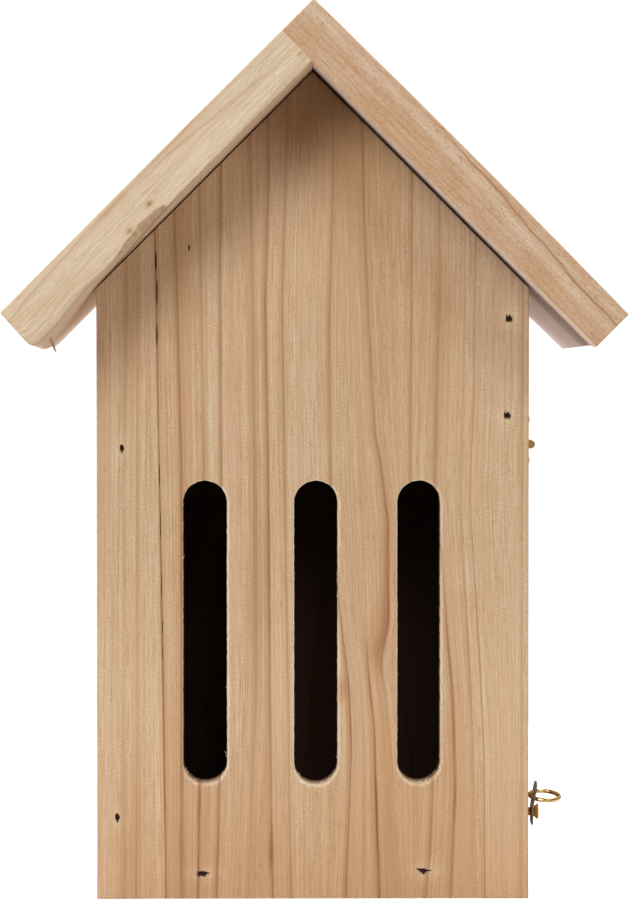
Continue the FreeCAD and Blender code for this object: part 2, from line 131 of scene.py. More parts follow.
# Meshes of the panels: step along the outline, steps over the outer and inner face, rings down the edge
FRONT_MESH = (1.2, (0.8, 6.0), 5)
BACK_MESH = (3.0, (3.0, 8.0), 3)
# Where the undersides of the roof boards leave the walls, along the slope
HOUSE_EDGE = PANEL_HALF / ROOT_HALF + BOARD

# Torn mouths of the brads' pits: heights of the top, then of the bottom, from left to right, in shares of
# half the height
TOOTH = ((0.5, 0.8, 0.9, 1.0, 0.9, 0.8, 0.7, 0.6, 0.3), (0.1, 0.4, 0.3, 0.7, 1.0, 0.7, 0.4, 0.2, 0.1))
CROWN = ((0.4, 1.0, 0.5, 0.5, 1.0, 0.8, 0.5, 0.4, -0.1), (0.4, 0.8, 0.8, 0.4, 1.0, 0.7, 0.7, 0.7, 0.4))
BLOCK = ((0.9, 0.85, 0.8, 1.0, 0.9, 0.85, 0.6, 0.5, 0.35), (0.6, 0.9, 0.6, 0.7, 0.75, 1.0, 0.1, -0.1, -0.2))
ARMED = ((0.6, 0.8, 0.6, 0.7, 0.7, 0.6, 0.3, 0.4, 0.3), (-0.5, -0.2, 0.3, 0.5, 1.0, 0.5, 0.0, 0.0, 0.0))
# Pits of the front and back panels: x, z, width, height, mouth
PANEL_PITS = (
    (-44.75, 105.8, 1.1, 2.6, TOOTH), (-45.9, 19.0, 1.2, 2.8, TOOTH), (46.1, 136.4, 1.8, 2.4, CROWN),
    (45.7, 113.7, 1.8, 2.2, CROWN), (-25.7, 5.8, 3.5, 1.75, BLOCK), (26.1, 6.4, 4.1, 2.2, ARMED),
)
# Short open cracks in the front panel: x, low end, high end, width
CRACKS = (
    (-36.75, 147.3, 152.2, 0.54), (-36.5, 139.1, 146.1, 0.36), (-36.55, 129.7, 135.3, 0.42),
    (-29.0, 152.1, 153.9, 0.5), (-36.0, 96.5, 103.0, 0.24), (-35.78, 84.5, 91.5, 0.26),
    (-35.52, 70.5, 77.5, 0.2), (-35.35, 62.0, 66.0, 0.24), (-35.24, 56.0, 60.0, 0.18),
)
# Brads of the roof boards, along the slope and across
ROOF_BRADS = tuple((along, y) for along in (30.0, 66.0) for y in (-20.0, 45.0))
RIDGE_BRADS = tuple((5.0, y) for y in (-36.0, 0.0, 36.0))
# How far the torn lower arris of the left roof board reaches up its front, along the slope
CHIP = (
    (57.1, 0.3), (57.5, 1.1), (59.0, 1.5), (61.6, 1.8), (64.3, 2.0),
    (66.9, 1.5), (69.6, 1.2), (72.1, 0.7), (74.3, 0.3),
)

# Knots of the left roof board's front: along the slope, up from the underside, size, share of heartwood
KNOTS = ((59.5, 3.4, 0.65, 2.1), (67.1, 2.3, 0.65, 1.9), (11.2, 3.4, 0.5, 1.6))
# The right roof board's thin brown line: places along the slope, then heights above the underside
BROWN_LINE = ((0, 40, 59, 88.5, 101), (9.6, 9.3, 8.6, 6.6, 6.5))
# Where fibres hang from the panel's slopes
SLOPE_FIBRES = (0.9, 10.7, 13.5, 27.6, 35.5, 39.5, 45.9, -18.0, -33.0)

# Growth lines of the front panel from left to right: width, share of heartwood there, then along the line
# (height, x, strength). A negative strength has its soft latewood to the right of the line, a positive one to
# the left
GROWTH_LINES = (
    (0.5, 0.30, ((0, -54.0, 0), (195, -54.0, 0))),
    (0.7, 0.35, ((0, -44.2, -0.3), (150, -43.6, -0.3))),
    (0.5, 0.45, ((0, -41.9, -0.4), (150, -41.3, -0.3))),
    (0.3, 0.30, ((0, -34.3, -0.9), (62, -35.3, -1), (122, -36.4, -1), (157, -37.1, -0.9))),
    (0.4, 0.85, ((0, -31.0, -0.7), (98, -30.8, -0.8), (134, -31.7, -0.6), (157, -32.4, -0.5))),
    (0.4, 0.50, ((0, -27.0, -0.8), (103, -25.6, -0.5), (147, -26.3, -0.4), (170, -26.6, -0.4))),
    (0.35, 0.30, ((0, -22.8, 0.7), (23, -22.1, 0.7), (98, -21.6, 0.8), (147, -21.8, 0.8), (172, -21.6, 0.7))),
    (0.6, 0.60, ((0, -15.0, 0.2), (49, -13.2, 0.4), (89, -13.2, 0.4), (180, -14.5, 0.3))),
    (0.36, 0.45, ((0, -9.3, 0.6), (8, -9.5, 1), (23, -9.8, 0.9), (98, -10.5, 0.8), (140, -11.2, 0.8),
                  (172, -10.3, 0.7), (190, -10.8, 0.6))),
    (0.45, 0.30, ((0, -5.3, 0.6), (23, -5.8, 0.6), (98, -6.8, 0.5), (140, -7.4, 0.4), (186, -6.1, 0.4))),
    (0.4, 0.50, ((0, 7.9, 0.9), (33, 9.3, 0.85), (49, 8.9, 0.8), (69, 6.4, 0.5), (98, 4.3, 0.6),
                 (134, 4.0, 0.5), (163, 5.0, 0.4), (186, 5.4, 0.4))),
    (0.35, 0.70, ((0, 15.9, 0.95), (26, 15.0, 1), (40.7, 14.6, 1), (49, 13.7, 1), (57, 13.0, 0.8),
                  (62, 12.8, 0), (100, 11.0, 0), (195, 7.5, 0))),
    (0.4, 0.75, ((0, 20.0, 0), (48, 16.4, 0), (55.5, 15.4, 0.7), (64.5, 17.6, 1), (79.6, 17.6, 1),
                 (89, 17.7, 0.9), (103, 15.8, 0.8), (109, 14.4, 0.8), (134, 12.9, 0.7), (166, 11.5, 0.7),
                 (183, 11.5, 0.6))),
    (0.35, 0.60, ((0, 26.5, 0.8), (12, 27.7, 0.8), (27, 28.4, 0.6), (98, 23.0, 0.7), (128, 23.2, 0.7),
                  (169, 23.5, 0.6))),
    (0.4, 0.50, ((0, 32.4, 0.8), (26, 33.5, 0.8), (47.5, 33.0, 0.7), (64, 31.6, 0.7), (73, 31.0, 0.5),
                 (98, 28.6, 0.5), (147, 29.9, 0.4), (162, 29.5, 0.4))),
    (0.3, 0.40, ((0, 38.2, 0.2), (34, 37.9, 0.5), (50.5, 37.3, 0.6), (61, 36.7, 0.6), (76, 35.8, 0.5),
                 (95, 34.9, 0.3), (115, 35.6, 0.3), (154, 36.0, 0.2))),
    (0.3, 0.30, ((0, 40.2, 0.7), (34, 39.9, 0.7), (55, 38.9, 0.6), (79, 37.4, 0.5), (95, 36.4, 0.5),
                 (115, 37.3, 0.5), (154, 37.8, 0.5))),
    (0.4, 0.35, ((0, 49.2, 0.4), (142, 49.6, 0.4))),
    (0.5, 0.50, ((0, 54.0, 0), (195, 54.0, 0))),
)
# Browner patches of the front panel: x, height, half width, half height, share of heartwood, share of stain.
# The last, broad patch under the apex is painted shade where the roof shades the panel
SMUDGES_AND_SHADE = (
    (-12.9, 70, 2.0, 24, 0.2, 0.1), (14.5, 61, 3.0, 5, 0.3, 0.0), (7.06, 49.5, 1.2, 3, 1.0, 0.0),
    (-9.9, 11, 0.5, 4, 0.9, 0.0), (-43.0, 135, 2.4, 18, 0.4, 0.0), (30.5, 140, 3.0, 14, 0.25, 0.0),
    (17.0, 80, 1.4, 14, 0.4, 0.0), (16.2, 66, 1.4, 6, 0.45, 0.0), (14.6, 58, 1.4, 4, 0.5, 0.0),
    (1.5, 186, 16, 14, 0.8, 0.2),
)
# The panel's foot is painted browner as shade, where the light falls off towards the bottom, by this share up
# to this height
FOOT_SHADE = 0.45
FOOT_HEIGHT = 55.0
# How much broader the growth lines show than the widths above, and their width on plain boards, the roof
# and torn wood
LINE_SPREAD = 1.8
PLAIN_LINE = 0.4
ROOF_LINE = 0.35
TORN_LINE = 0.3
# Share of heartwood that the slots' fresh edges lose, which also paints a highlight on their rims, and how
# dark the painted shade is where the roof covers the panel and in the roof's pits
RIM_FRESH_AND_HIGHLIGHT = 1.4
SLOPE_SHADE = 0.85
SUNK_SHADE = 0.92

# Colours that all the woods share: pale torn wood, which also paints highlights, and a dark stain, which also
# paints shade. Then settings and sockets of nodes that are used again and again
TORN_WOOD_AND_HIGHLIGHT = "#fae5cc"
DARK_STAIN_AND_SHADE = "#2c1106"
SMOOTH = {"interpolation_type": "SMOOTHSTEP"}
COLOURS = {"data_type": "RGBA"}
ABSOLUTE, PLUS, TIMES, TIMES_PLUS, OVER, LARGER = (
    {"operation": name} for name in ("ABSOLUTE", "ADD", "MULTIPLY", "MULTIPLY_ADD", "DIVIDE", "MAXIMUM")
)
MIX_SHARE, MIX_FROM, MIX_TO, MIXED = 0, 6, 7, 2


# Nodes, materials and meshes

def linear(colour):
    """Linear RGBA of an sRGB colour written as #rrggbb."""
    share = np.array([int(colour[i:i + 2], 16) for i in (1, 3, 5)]) / 255
    return (*np.where(share <= 0.04045, share / 12.92, ((share + 0.055) / 1.055) ** 2.4), 1.0)


def add(tree, kind, settings=None, inputs=(), out=0):
    """Adds a shader node with its settings, values and links.

    inputs are given by name or number, or in the node's own order. It gives one of the node's outputs, or
    all of them where out is None.
    """
    made = tree.nodes.new("ShaderNode" + kind)
    for name, value in (settings or {}).items():
        setattr(made, name, value)
    for name, value in inputs.items() if isinstance(inputs, dict) else enumerate(inputs):
        if isinstance(value, bpy.types.NodeSocket):
            tree.links.new(value, made.inputs[name])
        else:
            made.inputs[name].default_value = value
    return made.outputs if out is None else made.outputs[out]


def new_material(name, values):
    """A material with its node tree and its surface shader, whose sockets take these values all over."""
    material = bpy.data.materials.new(name)
    material.use_nodes = True
    surface = material.node_tree.nodes["Principled BSDF"]
    for socket, value in values.items():
        surface.inputs[socket].default_value = value
    return material, material.node_tree, surface


def wood(name, pale, tan, blush, heart, line, spacing=None, bold=1.0, flecks=0.28, reach=1.0):
    """Planed softwood with its growth lines.

    The attribute "fibre" holds millimetres across, through and along the grain from the heart of the tree.
    Where spacing is given, growth lines are cones about that heart, so that they show as arches on a face
    and as arcs on an end. Otherwise they follow the drawn lines in "grain": count, distance apart and
    signed strength. The attribute "tone" holds the share of heartwood, which past 1 goes on to the colour
    of the lines and below 0 to that of fresh torn wood, which on slot rims and roof undersides is painted
    light. It then holds the share of dark stain, which in pits, under the roof and inside the house is
    painted shade, and the width of the lines. bold is the strength of the lines on the cones, flecks that of
    the open pores, and reach how long all streaks are. To the eye this is a pale matt board with thin
    reddish lines, fine silky streaks and a slightly furry face.
    """
    taper, wander, latewood = 0.03, 3.0, 1.7
    material, tree, surface = new_material(name, {"Roughness": 0.78, "Specular IOR Level": 0.22})
    fibre = add(tree, "Attribute", {"attribute_name": "fibre"}, out="Vector")
    tone = add(tree, "Attribute", {"attribute_name": "tone"}, out="Vector")
    ripe, stain_and_shade, width = add(tree, "SeparateXYZ", inputs=(tone,), out=None)

    # Millimetres across and along the grain of streaks, threads, silk, pores, fur, bands of hue and slow
    # drift. Silk and fur are really several times finer, and are drawn this coarse so that they show
    fields = []
    for across, along, detail in (
        (0.9, 45, 3), (0.42, 80, 2), (0.28, 9, 2), (0.28, 3.2, 1), (0.24, 0.5, 1), (3.5, 70, 2), (9, 70, 2),
    ):
        size = (across, across, along * reach)
        stretched = add(tree, "VectorMath", OVER, (fibre, size))
        fields.append(add(tree, "TexNoise", inputs={"Vector": stretched, "Scale": 1.0, "Detail": detail}))
    streak, thread, silk, pore, fur, hue, drift = fields

    if spacing:
        flat = add(tree, "VectorMath", TIMES, (fibre, (1, 1, 0)))
        radius = add(tree, "VectorMath", {"operation": "LENGTH"}, (flat,), "Value")
        along = add(tree, "SeparateXYZ", inputs=(fibre,), out=2)
        for field, share in ((along, taper), (drift, wander)):
            radius = add(tree, "Math", TIMES_PLUS, (field, share, radius))
        count = add(tree, "Math", OVER, (radius, spacing))
        apart = spacing
        nearest = add(tree, "Math", {"operation": "ROUND"}, (count,))
        chance = add(tree, "TexWhiteNoise", {"noise_dimensions": "1D"}, {"W": nearest})
        signed = add(tree, "Math", TIMES, (chance, bold))
    else:
        grain = add(tree, "Attribute", {"attribute_name": "grain"}, out="Vector")
        count, apart, signed = add(tree, "SeparateXYZ", inputs=(grain,), out=None)
    strength = add(tree, "Math", ABSOLUTE, (signed,))
    side = add(tree, "Math", {"operation": "SIGN"}, (signed,))

    # Millimetres past the nearest growth line, then the sharp line, frayed by the silk, and the soft latewood
    # before it. A Map Range node takes its value, the two ends it is read between and the two it is sent to
    past = add(tree, "Math", {"operation": "WRAP"}, (count, 0.5, -0.5))
    for factor in (apart, side):
        past = add(tree, "Math", TIMES, (past, factor))
    near = add(tree, "Math", ABSOLUTE, (past,))
    near = add(tree, "Math", OVER, (near, width))
    near = add(tree, "Math", TIMES_PLUS, (silk, 1.6, near))
    sharp = add(tree, "MapRange", SMOOTH, (near, 0.7, 1.7, 1.0, 0.0))
    broken = add(tree, "MapRange", inputs=(drift, 0.3, 0.6, 0.5, 1.0))
    for factor in (broken, strength):
        sharp = add(tree, "Math", TIMES, (sharp, factor))
    late = add(tree, "MapRange", SMOOTH, (past, -latewood, 0.0, 0.0, 0.7))
    before = add(tree, "Math", {"operation": "LESS_THAN"}, (past, 0.0))
    for factor in (before, strength):
        late = add(tree, "Math", TIMES, (late, factor))

    # Colours, from the palest earlywood through heartwood, pale torn wood that also paints highlights, lines
    # and pores to the dark stain that also paints shade
    early = add(tree, "Math", TIMES_PLUS, (streak, 0.75, -1.8))
    for field, share in ((thread, 0.75), (silk, 1.5), (fur, 1.6)):
        early = add(tree, "Math", TIMES_PLUS, (field, share, early))
    rosy = add(tree, "MapRange", inputs=(hue, 0.42, 0.62, 0.0, 0.5))
    uneven = add(tree, "MapRange", inputs=(drift, 0.2, 0.8, -0.25, 0.25))
    for more in (late, uneven):
        ripe = add(tree, "Math", PLUS, (ripe, more))
    warm = add(tree, "MapRange", inputs=(ripe, 0.0, 1.0, 0.0, 0.75))
    stringy = add(tree, "MapRange", inputs=(thread, 0.3, 0.7, 0.7, 1.25))
    warm = add(tree, "Math", TIMES, (warm, stringy))
    paling = add(tree, "MapRange", inputs=(ripe, -0.3, -1.3, 0.0, 0.8))
    deep = add(tree, "MapRange", inputs=(ripe, 1.1, 2.2, 0.0, 0.8))
    dash = add(tree, "MapRange", inputs=(pore, 0.58, 0.76, 0.0, flecks))
    mark = sharp
    for other in (dash, deep):
        mark = add(tree, "Math", LARGER, (mark, other))
    colour = linear(pale)
    for share, tint in (
        (early, tan), (rosy, blush), (warm, heart), (paling, TORN_WOOD_AND_HIGHLIGHT), (mark, line), (stain_and_shade, DARK_STAIN_AND_SHADE),
    ):
        mix = {MIX_SHARE: share, MIX_FROM: colour, MIX_TO: linear(tint)}
        colour = add(tree, "Mix", COLOURS, mix, MIXED)
    tree.links.new(colour, surface.inputs["Base Color"])

    height = add(tree, "Math", TIMES_PLUS, (fur, 1.3, silk))
    height = add(tree, "Math", TIMES_PLUS, (mark, -0.6, height))
    bump = add(tree, "Bump", inputs={"Height": height, "Strength": 0.6, "Distance": 0.05 * MM})
    tree.links.new(bump, surface.inputs["Normal"])
    return material


def metal(name, bright, dull, grime, roughness, speck, edge):
    """Bare metal whose shine is broken by handling: patches of bright and dull, and specks of grime.

    speck is the width of a grime speck, millimetres, and edge the tint of reflections at a glancing angle.
    To the eye a soft metal glint that isn't even.
    """
    patch_width = 3.0
    material, tree, surface = new_material(name, {"Metallic": 1.0, "Specular Tint": linear(edge)})
    place = add(tree, "TexCoord", out="Object")
    patch = add(tree, "TexNoise", inputs={"Vector": place, "Scale": 1 / (patch_width * MM), "Detail": 3.0})
    dirt = add(tree, "TexNoise", inputs={"Vector": place, "Scale": 1 / (speck * MM), "Detail": 2.0})
    shiny = add(tree, "MapRange", inputs=(patch, 0.35, 0.62, 0.0, 1.0))
    dirty = add(tree, "MapRange", inputs=(dirt, 0.60, 0.78, 0.0, 0.5))
    colour = linear(dull)
    for share, tint in ((shiny, bright), (dirty, grime)):
        mix = {MIX_SHARE: share, MIX_FROM: colour, MIX_TO: linear(tint)}
        colour = add(tree, "Mix", COLOURS, mix, MIXED)
    tree.links.new(colour, surface.inputs["Base Color"])
    rough = add(tree, "MapRange", inputs=(patch, 0.3, 0.7, roughness + 0.1, roughness))
    tree.links.new(rough, surface.inputs["Roughness"])
    bump = add(tree, "Bump", inputs={"Height": dirt, "Strength": 0.15, "Distance": 0.03 * MM})
    tree.links.new(bump, surface.inputs["Normal"])
    return material


def put(name, data):
    """An object of this mesh, light or lens, put in the scene."""
    made = bpy.data.objects.new(name, data)
    bpy.context.scene.collection.objects.link(made)
    return made


def mesh_object(name, points, faces, material):
    """A smooth mesh from points in millimetres, sharp where it folds.

    Its faces are turned round if the volume inside them comes out negative.
    """
    points = np.asarray(points, float)
    fans = [(f[0], f[i], f[i + 1]) for f in faces for i in range(1, len(f) - 1)]
    corners = points[np.array(fans)]
    volume = np.einsum("ij,ij->i", corners[:, 0], np.cross(corners[:, 1], corners[:, 2])).sum()
    if volume < 0:
        faces = [tuple(reversed(f)) for f in faces]
    mesh = bpy.data.meshes.new(name)
    mesh.from_pydata((points * MM).tolist(), [], faces)
    mesh.polygons.foreach_set("use_smooth", np.ones(len(mesh.polygons), bool))
    mesh.set_sharp_from_angle(angle=FOLD)
    mesh.materials.append(material)
    mesh.update()
    return put(name, mesh)


def settle(piece, body, slot, *nodes):
    """The piece rides on a body and stands for these nodes; slot is not used."""
    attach(piece, body)
    if nodes:
        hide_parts(*nodes)
    return piece


def vectors(piece, name, *columns):
    """Stores three numbers for every point of the mesh."""
    count = len(piece.data.vertices)
    rows = np.stack([np.broadcast_to(column, count) for column in columns], 1)
    attribute = piece.data.attributes.new(name, "FLOAT_VECTOR", "POINT")
    attribute.data.foreach_set("vector", rows.astype(np.float32).ravel())


# Outlines and the boards cut to them

def smoothstep(value, low, high):
    """From 0 to 1 between two values, level at both ends."""
    share = np.clip((value - low) / (high - low), 0, 1)
    return share * share * (3 - 2 * share)


def between(value, rise, fall):
    """1 between a smooth rise and a smooth fall, each (start, end), and 0 outside them."""
    return smoothstep(value, *rise) * (1 - smoothstep(value, *fall))


def hill(value, middle, width):
    """A bell curve of height 1 about its middle, which is down to about a third at its width."""
    return np.exp(-((value - middle) / width) ** 2)


def ripple(place, *waves):
    """A fixed gentle wander: a sum of sines, each (height, length, phase)."""
    return sum(height * np.sin(2 * math.pi * place / length + phase) for height, length, phase in waves)


def dense(corners, step):
    """A closed outline with points no further apart than step.

    Each edge is hollowed to its left as a shallow parabola.
    """
    rows = []
    for start, end in zip(corners, np.roll(corners, -1, 0)):
        run = end - start
        count = max(1, math.ceil(np.linalg.norm(run) / step))
        share = np.arange(count)[:, None] / count
        rows.append(start + run * share + 4 * HOLLOW * share * (1 - share) * np.array([-run[1], run[0]]))
    return np.vstack(rows)


def inset_outline(outline, inset):
    """The closed outline moved to its left by inset, along the mitre of the edges that meet at each point."""
    ahead = np.roll(outline, -1, 0) - outline
    ahead /= np.linalg.norm(ahead, axis=1, keepdims=True)
    both = ahead + np.roll(ahead, 1, 0)
    left = np.stack([-both[:, 1], both[:, 0]], 1)
    left *= 2 / (left ** 2).sum(1, keepdims=True)
    return outline + np.reshape(inset, (-1, 1)) * left


def inside(points, outlines):
    """True where a point is inside by the even-odd rule, over all the outlines together."""
    odd = np.zeros(len(points), bool)
    for outline in outlines:
        for (x0, y0), (x1, y1) in zip(outline, np.roll(outline, -1, 0)):
            spans = (y0 > points[:, 1]) != (y1 > points[:, 1])
            if spans.any():
                odd ^= spans & (points[:, 0] < x0 + (points[:, 1] - y0) * (x1 - x0) / (y1 - y0))
    return odd


def fill(outlines, step):
    """Triangles between closed outlines, over their own points and a grid of points inside, step apart."""
    border = np.vstack(outlines)
    lines = [np.arange(low + step / 2, high, step) for low, high in zip(border.min(0), border.max(0))]
    grid = np.stack(np.meshgrid(*lines), -1).reshape(-1, 2)
    margin = 0.4 * step
    clear = [inset_outline(outline, margin) for outline in outlines]
    points = np.vstack([border, grid[inside(grid, clear)]])
    edges = []
    for outline in outlines:
        first = len(edges)
        edges += [(first + i, first + (i + 1) % len(outline)) for i in range(len(outline))]
    same_point = 1e-5
    made = delaunay_2d_cdt([Vector(p) for p in points], edges, [], 0, same_point)
    source = np.array([old[0] for old in made[3]])
    faces = source[np.array(made[2])]
    faces = faces[inside(points[faces].mean(1), outlines)]
    return points[len(border):], faces


def at_depth(points, depth):
    """Flat points with a depth as their third coordinate."""
    return np.column_stack([points, np.broadcast_to(depth, len(points))])


def rim(outline, thick, arris, walls):
    """Rings carried round a closed outline from face to face: a lip, an arris, the wall, an arris, a lip."""
    arris = np.broadcast_to(arris, len(outline))
    turn = np.radians([[0], [30], [60], [90]])
    share = np.linspace(0, 1, walls + 2)[1:-1, None]
    inset = np.vstack([arris + LIP, arris * (1 - np.sin(turn))])
    depth = np.vstack([0 * arris, arris * (1 - np.cos(turn))])
    wall = arris + share * (thick - 2 * arris)
    inset = np.vstack([inset, 0 * wall, inset[::-1]])
    depth = np.vstack([depth, wall, thick - depth[::-1]])
    return np.stack([at_depth(inset_outline(outline, i), d) for i, d in zip(inset, depth)])


def bowl(outline, depth):
    """Rings of a blind pit, each the outline drawn towards its middle.

    They are the mouth, two down the wall, and the floor.
    """
    middle = outline.mean(0)
    steps = ((1.0, 0.0), (0.9, 0.15 * depth), (0.7, 0.7 * depth), (0.45, depth))
    return np.stack([at_depth(middle + share * (outline - middle), d) for share, d in steps])


def strips(first, rings, count):
    """Quads between neighbouring rings of count points each, numbered on from first."""
    index = first + np.arange(rings * count).reshape(rings, count)
    ahead = np.roll(index, -1, 1)
    return np.stack([index[:-1], index[1:], ahead[1:], ahead[:-1]], -1).reshape(-1, 4)


def slab(outline, holes, pits, thick, steps, walls):
    """A flat board cut to an outline, with through holes and blind pits.

    A hole is (outline, arris) and a pit (outline, depth). The walls are an edge profile carried round each
    outline, and the two faces are filled between the profiles' ends, over grids with these two steps.
    Gives (across, along, depth) points, faces, and which points are in a pit.
    """
    bands = [rim(line, thick, arris, walls) for line, arris in ((outline, ARRIS), *holes)]
    cups = [bowl(*pit) for pit in pits]
    points = []
    faces = []
    fronts = []
    backs = []
    first = 0
    for rings in bands + cups:
        levels, count = rings.shape[:2]
        faces += strips(first, levels, count).tolist()
        index = first + np.arange(levels * count).reshape(levels, count)
        fronts.append(index[0])
        if len(fronts) <= len(bands):
            backs.append(index[-1])
        else:
            faces.append(index[-1].tolist())
        points.append(rings.reshape(-1, 3))
        first += levels * count
    pit_end = first
    pit_start = first - sum(rings.shape[0] * rings.shape[1] for rings in cups)
    for rows, step, depth in ((fronts, steps[0], 0.0), (backs, steps[1], thick)):
        known = np.vstack(points)
        grid, triangles = fill([known[row, :2] for row in rows], step)
        lookup = np.concatenate([*rows, first + np.arange(len(grid))])
        triangles = lookup[triangles]
        faces += (triangles if depth == 0 else triangles[:, ::-1]).tolist()
        points.append(at_depth(grid, depth))
        first += len(grid)
    number = np.arange(first)
    return np.vstack(points), faces, (number >= pit_start) & (number < pit_end)


def slot_line(x, half, low, rng):
    """A routed slot, clockwise and a little frayed: two half circles joined by straight sides.

    Its arris at each point comes with it. It is rounded over most at the foot, and less on the right.
    """
    angle = np.linspace(0, math.pi, ROUND_STEPS)
    round_end = np.stack([np.cos(angle), np.sin(angle)], 1) * half
    head = round_end + (x, SLOT_HIGH - half)
    foot = -round_end + (x, low + half)
    line = dense(np.vstack([head, foot]), SLOT_STEP)[::-1]
    at_foot = 1 - smoothstep(line[:, 1], low, low + half)
    to_right = smoothstep(line[:, 0] - x, 0, half)
    arris = ARRIS + (SLOT_ARRIS - ARRIS) * np.maximum(at_foot, RIGHT_ROUND * to_right)
    return inset_outline(line, rng.normal(0, FRAY, len(line))), arris


def pit_line(x, z, wide, tall, mouth):
    """The torn mouth of a brad's pit, clockwise: upright teeth along its top and its bottom."""
    top, bottom = np.array(mouth)
    share = np.linspace(-1, 1, len(top))
    across = np.concatenate([share, share[::-1]])
    up = np.concatenate([top, -bottom[::-1]])
    return np.stack([x + across * wide / 2, z + up * tall / 2], 1)


def crack_line(x, low, high, width, rng):
    """A short open crack, clockwise: a long ellipse with a wavering side."""
    angle = np.linspace(2 * math.pi, 0, 27)[:-1]
    waver = rng.uniform(*CRACK_WAVER, len(angle))
    across = x + width / 2 * np.cos(angle) * waver
    up = (low + high) / 2 + (high - low) / 2 * np.sin(angle)
    return np.stack([across, up], 1)


def gable(drop, twist=0.0):
    """The five corners of a gable panel, with its slopes a little below the roof.

    The foot of its right slope is lower by twist.
    """
    eave = EAVE - drop
    foot = [(-PANEL_HALF, 0), (PANEL_HALF, 0)]
    return np.array([*foot, (PANEL_HALF, eave - twist), (0, PEAK - drop), (-PANEL_HALF, eave)])


def drawn_grain(x, z):
    """What the drawn growth lines give at points of the panel.

    Count along the lines and their distance apart, both averaged over a short reach across the grain, the
    strength and width of the nearest line, and the place across the grain, which bends with the lines.
    The lines run straight between their given places, with the bends averaged over a few millimetres.
    """
    tallest, bend, blur = 200.0, 4, 0.8
    heights = np.arange(0.0, tallest)
    window = np.hanning(2 * bend + 1)
    window /= window.sum()
    paths = []
    strengths = []
    for _, _, places in GROWTH_LINES:
        known = np.array(places, float)
        path = np.interp(np.pad(heights, bend, mode="edge"), known[:, 0], known[:, 1])
        paths.append(np.convolve(path, window, mode="valid"))
        strengths.append(np.interp(z, known[:, 0], known[:, 2]))
    lines = np.array([np.interp(z, heights, path) for path in paths])
    column = np.arange(len(x))
    count = np.zeros(len(x))
    apart = np.zeros(len(x))
    reach = np.linspace(-blur, blur, 7)
    for shift in reach:
        after = np.clip((x + shift > lines).sum(0), 1, len(lines) - 1)
        low, high = lines[after - 1, column], lines[after, column]
        count += (after - 1 + (x + shift - low) / (high - low)) / len(reach)
        apart += (high - low) / len(reach)
    nearest = np.clip(np.round(count).astype(int), 0, len(lines) - 1)
    width = np.array([row[0] for row in GROWTH_LINES])[nearest]
    across = np.interp(count, np.arange(len(lines)), [path[len(heights) // 2] for path in paths])
    return count, apart, np.array(strengths)[nearest, column], width, across


def front_panel(material):
    """The slotted front: a gable slab with frayed slots, ragged pits, short cracks and drawn grain."""
    rng = np.random.default_rng(SEED)
    step, face_steps, walls = FRONT_MESH
    outline = dense(gable(ROOF_GAP), step)
    slots = [slot_line(*slot, rng) for slot in SLOTS]
    pits = [(pit_line(*pit), PIT_DEPTH) for pit in PANEL_PITS]
    pits += [(crack_line(*crack, rng), CRACK_DEPTH) for crack in CRACKS]
    points, faces, pitted = slab(outline, slots, pits, BOARD, face_steps, walls)
    x, z, depth = points.T
    piece = mesh_object("front_panel_wood", np.stack([x, FRONT + depth, z], 1), faces, material)
    count, apart, strength, width, across = drawn_grain(x, z)
    heart = np.interp(count, np.arange(len(GROWTH_LINES)), [row[1] for row in GROWTH_LINES])
    # Painted shade: browner towards the foot, where the light falls off
    heart += FOOT_SHADE * (1 - smoothstep(z, 0, FOOT_HEIGHT))
    # Painted shade: the chamber's inner face and the slots' walls past their lit edge are darkened as the
    # shade inside the closed house
    chamber = (np.abs(x) < INSIDE_HALF) & (z > BOARD) & (z < EAVE)
    lit = np.where(z < SLOT_LOW + LIT_HEIGHT, FOOT_LIT, SLOT_ARRIS)
    stain_and_shade = np.where(chamber, INNER_SHADE * smoothstep(depth, lit, lit + DUSK), 0.0)
    # Browner patches; the broad one under the apex, with its stain, is painted shade
    for cx, cz, wide, tall, brown, dusk in SMUDGES_AND_SHADE:
        patch = hill(x, cx, wide) * hill(z, cz, tall)
        heart += brown * patch
        stain_and_shade += dusk * patch * (depth < ARRIS)
    # The slots' rims are paled: fresh-cut wood, and a painted highlight where the rounded edge catches the
    # light
    slot_rim = (depth > 0) & (depth < SLOT_ARRIS) & (np.abs(x) < INSIDE_HALF) & (z < SLOT_HIGH + SLOT_ARRIS)
    heart -= RIM_FRESH_AND_HIGHLIGHT * slot_rim
    for cx, cz, wide, tall, _ in PANEL_PITS:
        heart -= PIT_HALO * hill(x, cx, wide) * hill(z, cz, tall)
    # Painted shade: pits and cracks darken with their depth
    stain_and_shade = np.where(pitted, PIT_SHADE * smoothstep(depth, 0.0, PIT_DARK), stain_and_shade)
    # Painted shade where the roof covers the panel's slopes
    covered = (z > EAVE - 1) & (np.abs(x) + z > PEAK - 1) & (depth > 0.2)
    stain_and_shade = np.where(covered & ~pitted, SLOPE_SHADE, stain_and_shade)
    vectors(piece, "grain", count, apart, strength)
    vectors(piece, "fibre", across, depth, z)
    vectors(piece, "tone", heart, stain_and_shade, LINE_SPREAD * width)
    return settle(piece, "house", "softwood", "front_panel")


